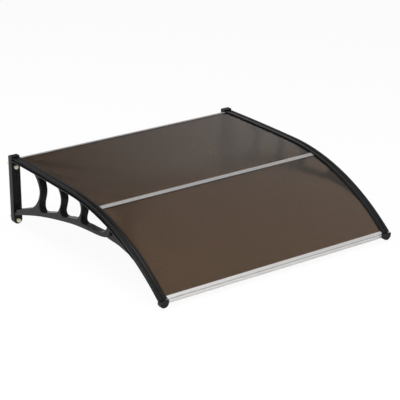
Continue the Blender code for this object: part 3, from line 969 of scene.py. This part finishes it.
@dataclass
class WallBolt:
    """Hexagon-head bolt with a cut thread, through a post into the wall."""

    side: Side
    level: Level
    across_flats: float = 0.013
    head_height: float = 0.0053
    shank_radius: float = 0.004
    length: float = 0.062
    thread_length: float = 0.040
    thread_pitch: float = 0.00125
    thread_depth: float = 0.00065
    fade_turns: int = 2
    head_seat: float = 0.0262
    tip_share: float = 0.82
    chamfer_start: float = 0.95
    chamfer_slope: float = math.tan(math.radians(30))
    neck: float = 0.00015
    dish_rim: float = 0.82
    dish_floor: float = 0.74
    points: int = 36
    rows_per_turn: int = 6
    smooth_angle: float = 30.0

    def ring(self, along: float | Callable[[float], float],
             radius: float | Callable[[float], float]) -> list[Place]:
        """One ring of points round the bolt.

        Args:
            along: Distance from the wall, or what gives it for a radius.
            radius: Radius, or what gives it for an angle.

        Returns:
            The ring.
        """
        ring = []
        for index in range(self.points):
            angle = 2 * math.pi * index / self.points
            reach = radius(angle) if callable(radius) else radius
            distance = along(reach) if callable(along) else along
            x = self.side.post_x + reach * math.cos(angle)
            ring.append((x, -distance, self.level.value + reach * math.sin(angle)))
        return ring

    def flat_radius(self, angle: float) -> float:
        """Distance from the middle to the hexagon's edge at an angle."""
        sixth = math.pi / 3
        return self.across_flats / 2 / math.cos((angle % sixth) - sixth / 2)

    def thread_rings(self, tip: float) -> list[list[Place]]:
        """Rings of the threaded part, from the tip inwards.

        Args:
            tip: Distance from the wall of the bolt's tip, behind the wall face.

        Returns:
            The rings.
        """
        rows = round(self.thread_length / self.thread_pitch) * self.rows_per_turn

        def thread_radius(row: int) -> Callable[[float], float]:
            """Radius of the thread at a row, for an angle.

            Args:
                row: Row of the ring, counted from the tip.

            Returns:
                What gives the radius.
            """
            turns = row / self.rows_per_turn
            fade = min(1.0, (rows - row) / (self.fade_turns * self.rows_per_turn))
            lead = min(1.0, self.tip_share + (1 - self.tip_share) * turns)

            def radius(angle: float) -> float:
                """Radius of the thread at an angle."""
                turn = (turns - angle / (2 * math.pi)) % 1.0
                return lead * self.shank_radius - fade * self.thread_depth * abs(2 * turn - 1)

            return radius

        return [self.ring(tip + self.thread_length * row / rows, thread_radius(row))
                for row in range(rows + 1)]

    def build(self, finishes: Finishes) -> None:
        """Make the bolt in place of its plain solid.

        Args:
            finishes: The materials.
        """
        seat = self.head_seat
        top = seat + self.head_height
        base = self.chamfer_start * self.across_flats / 2
        head = [
            (seat, self.shank_radius), (seat, base), (seat + self.neck, base),
            (seat + 2 * self.neck, self.flat_radius),
            (lambda reach: top - (reach - base) * self.chamfer_slope, self.flat_radius),
            (top, base), (top, base * self.dish_rim), (top - 2 * self.neck, base * self.dish_floor),
        ]
        rings = self.thread_rings(seat - self.length) + [self.ring(along, radius) for along, radius in head]
        label = f"{self.side.label}_{self.level.label}"
        stand_in(f"{label}_threaded_bolt", f"{label}_wall_bolt", ringed(rings),
                 finishes.by_slot[Slot.STEEL], self.smooth_angle)


@dataclass
class TwinWallSheet:
    """One arched sheet: two skins joined by a web between every two flutes."""

    name: str
    node: str
    start: float
    end: float
    station_pitch: float
    half_width: float = 0.493
    top: float = SHEET_TOP
    thickness: float = SHEET_THICKNESS
    skin: float = 0.00045
    web: float = 0.0009
    flute_pitch: float = 0.0085
    smooth_angle: float = 30.0

    def across(self) -> list[float]:
        """Edges of the flutes, between the sheet's own edges.

        Returns:
            The X of each edge.
        """
        count = math.floor((2 * self.half_width - 2 * self.web) / self.flute_pitch)
        first = -count * self.flute_pitch / 2
        places = [-self.half_width]
        for flute in range(count):
            low = first + flute * self.flute_pitch
            places += [low + self.web / 2, low + self.flute_pitch - self.web / 2]
        return [*places, self.half_width]

    def row(self, shape: bmesh.types.BMesh, distance: float, below: float,
            places: Sequence[float]) -> list[bmesh.types.BMVert]:
        """Corners across the sheet at one station and depth.

        Args:
            shape: Shape that they go into.
            distance: Distance from the wall.
            below: Depth under the arch line.
            places: X of the corners.

        Returns:
            The corners.
        """
        along, height = ARCH.point(distance, below)
        return [shape.verts.new((x, -along, height)) for x in places]

    def stretch(self, shape: bmesh.types.BMesh, near: Sequence[list[bmesh.types.BMVert]],
                far: Sequence[list[bmesh.types.BMVert]]) -> None:
        """Join two stations: the skins outside, the sheet's edges, and the four walls of each flute.

        Args:
            shape: Shape that the faces go into.
            near: Corners of one station, by layer.
            far: The same of the next.
        """
        top, bottom = Layer.OUTER_TOP, Layer.OUTER_BOTTOM
        for layer in (top, bottom):
            here, there = near[layer], far[layer]
            for index in range(len(here) - 1):
                shape.faces.new((here[index], here[index + 1], there[index + 1], there[index]))
        for edge in (0, -1):
            shape.faces.new((near[top][edge], far[top][edge], far[bottom][edge], near[bottom][edge]))
        above, below = Layer.INNER_TOP, Layer.INNER_BOTTOM
        for index in range(0, len(near[above]), 2):
            corners = ((above, index), (above, index + 1), (below, index + 1), (below, index))
            for (layer, place), (other, beside) in zip(corners, (*corners[1:], corners[0])):
                shape.faces.new((near[layer][place], near[other][beside],
                                 far[other][beside], far[layer][place]))

    def cap(self, shape: bmesh.types.BMesh, rows: Sequence[list[bmesh.types.BMVert]]) -> None:
        """Close one end of the sheet round its open flutes.

        Args:
            shape: Shape that is closed.
            rows: Corners of the end, by layer.
        """
        top, inner_top, inner_bottom, bottom = rows
        for edge, beside in ((0, 1), (-1, -2)):
            shape.faces.new((top[edge], top[beside], inner_top[edge], inner_bottom[edge],
                             bottom[beside], bottom[edge]))
        for index in range(1, len(top) - 2):
            for outer, inner in ((top, inner_top), (bottom, inner_bottom)):
                shape.faces.new((outer[index], outer[index + 1], inner[index], inner[index - 1]))
            if index % 2 == 0:
                shape.faces.new((inner_top[index - 1], inner_top[index], inner_bottom[index],
                                 inner_bottom[index - 1]))

    def build(self, finishes: Finishes) -> None:
        """Make the sheet in place of its plain solid.

        Args:
            finishes: The materials.
        """
        shape = bmesh.new()
        places = self.across()
        inner = places[1:-1]
        bottom = self.top + self.thickness
        layers = ((self.top, places), (self.top + self.skin, inner), (bottom - self.skin, inner),
                  (bottom, places))
        stations = ARCH.stations(self.start, self.end, self.station_pitch)
        rows = [[self.row(shape, distance, below, xs) for below, xs in layers] for distance in stations]
        for near, far in zip(rows, rows[1:]):
            self.stretch(shape, near, far)
        self.cap(shape, rows[0])
        self.cap(shape, rows[-1])
        stand_in(self.name, self.node, shape, finishes.by_slot[Slot.SHEET],
                 self.smooth_angle)


@dataclass
class ExtrudedBars:
    """The three aluminium bars that lie across the sheets, between the brackets."""

    half_width: float = 0.4643
    wall: float = 0.0013
    corner: float = 0.00035
    smooth_angle: float = 28.0
    joint_start: float = 0.554
    joint_length: float = 0.0185
    joint_grooves: int = 2
    groove_depth: float = 0.0006
    groove_share: float = 0.10
    trim_start: float = 0.021
    trim_length: float = 0.011
    front: float = 0.9514
    brow: float = 0.0076
    brow_lift: float = 0.0026
    fascia: float = 0.0230
    face: float = 0.0030
    bead: float = 0.0022
    beads: list[tuple[float, ...]] = field(
        default_factory=lambda: [(0.03, 0.07, 0.27, 0.33), (0.47, 0.53, 0.84, 0.90)]
    )
    foot: float = 0.007

    def extrude(self, name: str, node: str, outline: Sequence[Point],
                material: bpy.types.Material) -> None:
        """Make one bar in place of its plain solid.

        Args:
            name: Name of the bar.
            node: Solid that it stands for.
            outline: Its side-view outline.
            material: Its finish.
        """
        shape = extruded(rounded(outline, self.corner), self.half_width)
        stand_in(name, node, shape, material, self.smooth_angle)

    def levels(self) -> tuple[float, float]:
        """Depths of the bars' faces over and under the sheet."""
        return SHEET_TOP - CLEARANCE, SHEET_TOP + SHEET_THICKNESS + CLEARANCE

    def joint_outline(self) -> list[Point]:
        """Outline of the H-shaped bar between the two sheets.

        Returns:
            Points as (distance, height).
        """
        over, under = self.levels()
        start = self.joint_start
        middle = start + self.joint_length / 2 * math.cos(ARCH.slope(start))
        end = 2 * middle - start
        span = end - start
        half = span * self.groove_share / 2
        top = over - self.wall
        line = [ARCH.point(start, top)]
        for groove in range(1, self.joint_grooves + 1):
            place = start + span * groove / (self.joint_grooves + 1)
            for offset, below in ((-half, 0.0), (-half / 2, self.groove_depth),
                                  (half / 2, self.groove_depth), (half, 0.0)):
                line.append(ARCH.point(place + offset, top + below))
        line.append(ARCH.point(end, top))
        web = self.wall / 2
        for distance, below in ((end, over), (middle + web, over), (middle + web, under), (end, under),
                                (end, under + self.wall), (start, under + self.wall), (start, under),
                                (middle - web, under), (middle - web, over), (start, over)):
            line.append(ARCH.point(distance, below))
        return line

    def trim_outline(self) -> list[Point]:
        """Outline of the channel on the sheet's rear edge.

        Returns:
            Points as (distance, height).
        """
        over, under = self.levels()
        start = self.trim_start
        end = start + self.trim_length
        inner = start + self.wall
        corners = ((start, over - self.wall), (end, over - self.wall), (end, over), (inner, over),
                   (inner, under), (end, under), (end, under + self.wall), (start, under + self.wall))
        return [ARCH.point(distance, below) for distance, below in corners]

    def front_outline(self) -> list[Point]:
        """Outline of the front edge bar with its beaded fascia.

        Returns:
            Points as (distance, height).
        """
        over, under = self.levels()
        start = self.front - self.brow
        slope = math.tan(ARCH.slope(start))
        top = ARCH.point(start, over - self.wall)
        brow = (self.front, top[1] - (self.front - top[0]) * slope + self.brow_lift)
        foot = top[1] - self.fascia
        face = [brow]
        for shares in self.beads:
            for share, inset in zip(shares, (0.0, self.bead, self.bead, 0.0)):
                face.append((self.front - inset, brow[1] + (foot - brow[1]) * share))
        back = self.front - self.face

        def slanted(point: Point, distance: float) -> Point:
            """Point of the line through a point, along the slope of the front edge."""
            return (distance, point[1] - (distance - point[0]) * slope)

        seat_over, seat_under = ARCH.point(start, over), ARCH.point(start, under)
        lip = ARCH.point(start, under + self.wall)
        return [
            top, *face, (self.front, foot), (back - self.foot, foot), (back - self.foot, foot + self.wall),
            (back, foot + self.wall), slanted(lip, back), lip, seat_under, slanted(seat_under, back),
            slanted(seat_over, back), seat_over,
        ]

    def build(self, finishes: Finishes) -> None:
        """Make the three bars.

        Args:
            finishes: The materials.
        """
        clean = finishes.by_slot[Slot.BAR]
        self.extrude("joining_extrusion", "joining_bar", self.joint_outline(), finishes.weathered)
        self.extrude("rear_trim_extrusion", "rear_edge_trim", self.trim_outline(), finishes.weathered)
        self.extrude("front_extrusion", "front_edge_bar", self.front_outline(), clean)


# Studio


@dataclass
class Softbox:
    """One large soft lamp, in watts."""

    name: str
    place: Place
    size: float
    power: float
    aim: Place = (0.0, -0.4, 0.1)

    def build(self) -> None:
        """Hang the lamp and turn it to its aim."""
        data = bpy.data.lights.new(self.name, "AREA")
        data.shape = "DISK"
        data.size = self.size
        data.energy = self.power
        lamp = add_object(self.name, data)
        lamp.location = self.place
        lamp.rotation_euler = (Vector(self.aim) - Vector(self.place)).to_track_quat("-Z", "Y").to_euler()


@dataclass
class Studio:
    """Pale floor, plain surround, soft lamps and the camera."""

    floor_half: float = 30.0
    floor_level: float = -0.0005
    floor_colour: Colour = (0.95, 0.95, 0.95)
    floor_grey: Colour = (0.92, 0.92, 0.92)
    floor_clouds: float = 3.0
    floor_octaves: float = 4.0
    cloud_noise: Range = (0.3, 0.7)
    cloud_share: Range = (0.97, 1.0)
    floor_rough: float = 0.9
    floor_specular: float = 0.1
    floor_white: float = 0.94
    floor_mirrored: float = 0.25
    surround_low: float = 1.0
    surround_high: float = 0.014
    surround_rise: Range = (0.06, 0.22)
    side_bright: float = 0.43
    side_toward: Place = (1.0, 0.07, 0.0)
    side_range: Range = (0.52, 0.66)
    camera_place: Place = (-2.888, -4.4215, 1.982)
    camera_down: float = 20.82
    camera_round: float = -36.32
    lens: float = 131.0
    sensor: float = 36.0
    lamps: list[Softbox] = field(default_factory=lambda: [
        Softbox("top_lamp", (-0.6, -0.8, 4.6), 3.2, 125.0),
        Softbox("key_lamp", (-3.4, -2.6, 4.4), 4.0, 150.0),
        Softbox("rear_lamp", (-1.3, 2.6, 2.0), 1.4, 20.0, aim=(-0.4, -0.4, 0.1)),
        Softbox("fill_lamp", (1.6, -5.2, 4.2), 3.0, 40.0),
        Softbox("front_lamp", (-3.0, -3.8, 1.2), 1.5, 45.0, aim=(0.0, -0.2, 0.15)),
    ])

    def build_floor(self) -> None:
        """Lay the floor: white as seen, in mirrors and through the sheets, and shaded by the object."""
        shape = bmesh.new()
        bmesh.ops.create_grid(shape, x_segments=1, y_segments=1, size=self.floor_half)
        mesh = bpy.data.meshes.new("studio_floor")
        shape.to_mesh(mesh)
        shape.free()
        floor = add_object("studio_floor", mesh)
        floor.location = (0.0, 0.0, self.floor_level)
        dress(floor, self.floor_material())

    def floor_material(self) -> bpy.types.Material:
        """White to the camera, in part to mirrors, and a matt pale floor to everything else.

        Returns:
            The material.
        """
        material, wires, shader = blank_material("studio_floor")
        clouds = wires.noise(wires.place(), self.floor_clouds, self.floor_octaves)
        tone = wires.remap(clouds, self.cloud_noise, self.cloud_share)
        wires.feed(shader, {
            "Base Color": wires.tint(tone, self.floor_grey, self.floor_colour),
            "Roughness": self.floor_rough,
            "Specular IOR Level": self.floor_specular,
        })
        white = wires.node("ShaderNodeEmission", {"Color": WHITE, "Strength": 1.0})
        path = wires.node("ShaderNodeLightPath")
        straight = wires.maths("MAXIMUM", path.outputs["Is Camera Ray"], path.outputs["Is Transmission Ray"])
        straight = wires.maths("MULTIPLY", straight, self.floor_white)
        mirrored = wires.maths("MULTIPLY", path.outputs["Is Glossy Ray"], self.floor_mirrored)
        share = wires.maths("MAXIMUM", straight, mirrored)
        mix = wires.node("ShaderNodeMixShader", {"Fac": share})
        wires.put(mix.inputs[1], shader.outputs[0])
        wires.put(mix.inputs[2], white.outputs[0])
        wires.put(material.node_tree.nodes["Material Output"].inputs["Surface"], mix.outputs[0])
        return material

    def build_surround(self) -> None:
        """Surround the object with a white horizon, a dim ceiling and a brighter right side."""
        world = bpy.data.worlds.new("studio_surround")
        world.use_nodes = True
        wires = Wires(world.node_tree)
        back = world.node_tree.nodes["Background"]
        toward = wires.node("ShaderNodeTexCoord").outputs["Generated"]
        rise = wires.node("ShaderNodeSeparateXYZ", {"Vector": toward}).outputs["Z"]
        tone = wires.remap(rise, self.surround_rise, (self.surround_low, self.surround_high))
        side = wires.alike(toward, self.side_toward)
        bright = wires.remap(side, self.side_range, (self.surround_high, self.side_bright))
        wires.feed(back, {"Color": WHITE, "Strength": wires.maths("MAXIMUM", tone, bright)})
        bpy.context.scene.world = world

    def build_camera(self) -> None:
        """Place the camera at the photograph's viewing angle."""
        data = bpy.data.cameras.new("photo_camera")
        data.sensor_width = self.sensor
        data.lens = self.lens
        camera = add_object("photo_camera", data)
        camera.location = self.camera_place
        tilt, turn = math.radians(90.0 - self.camera_down), math.radians(self.camera_round)
        camera.rotation_euler = (tilt, 0.0, turn)
        bpy.context.scene.camera = camera

    def build(self) -> None:
        """Set up the whole studio."""
        self.build_floor()
        self.build_surround()
        for lamp in self.lamps:
            lamp.build()
        self.build_camera()
        bpy.context.scene.view_settings.view_transform = "Standard"
        LOG.info("studio with %d lamps", len(self.lamps))


def main() -> None:
    """Build every piece of the canopy and the studio round it."""
    logging.basicConfig(level=logging.INFO, format="%(name)s: %(message)s")
    finishes = Finishes(Effects())
    Studio().build()
    for side in Side:
        SideBracket(side).dress(finishes)
        PressingStrip(side).build(finishes)
        for level in Level:
            WallBolt(side, level).build(finishes)
    rear = TwinWallSheet("rear_panel", "rear_sheet", start=0.0245, end=0.5622, station_pitch=0.036)
    rear.build(finishes)
    front = TwinWallSheet("front_panel", "front_sheet", start=0.5641, end=0.9509, station_pitch=0.012)
    front.build(finishes)
    ExtrudedBars().build(finishes)


if __name__ == "__main__":
    main()
